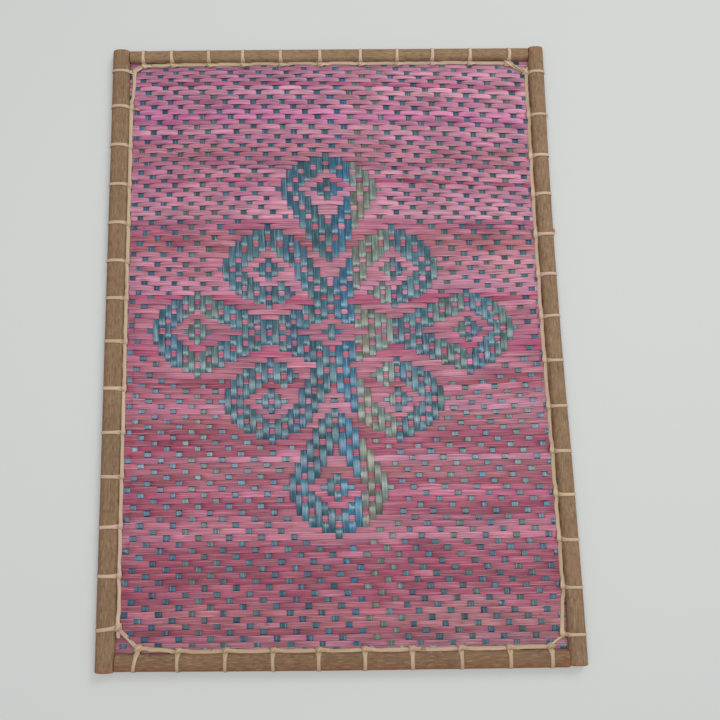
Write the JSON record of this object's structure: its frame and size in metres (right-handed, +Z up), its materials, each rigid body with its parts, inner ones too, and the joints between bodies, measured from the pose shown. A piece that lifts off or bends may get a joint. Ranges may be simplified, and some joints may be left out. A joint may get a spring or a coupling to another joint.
{
  "type": "bamboo placemat",
  "caption": "Flat rectangular placemat of woven split strips with a flower medallion, edged with laced-on half-round cane rails.",
  "frame": {"origin": "under the middle of the mat, on the surface that it lies on", "axes": "+Z up from the surface, +Y along the long side towards the flower's top petal, +X along the short side"},
  "size_m": [0.338, 0.4558, 0.0081],
  "materials": {
    "mat": "dyed split strips with a silky sheen, rose and magenta over blue and teal",
    "rail": "matt, fibrous brown cane with dark specks",
    "lacing": "pale straw-coloured cane strip, satin"
  },
  "bodies": {
    "root": {"woven_mat": "mat", "rail_left": "rail", "rail_bottom": "rail", "rail_right": "rail", "rail_top": "rail", "lacing_left": "lacing", "lacing_bottom": "lacing", "lacing_right": "lacing", "lacing_top": "lacing"}
  },
  "joints": []
}
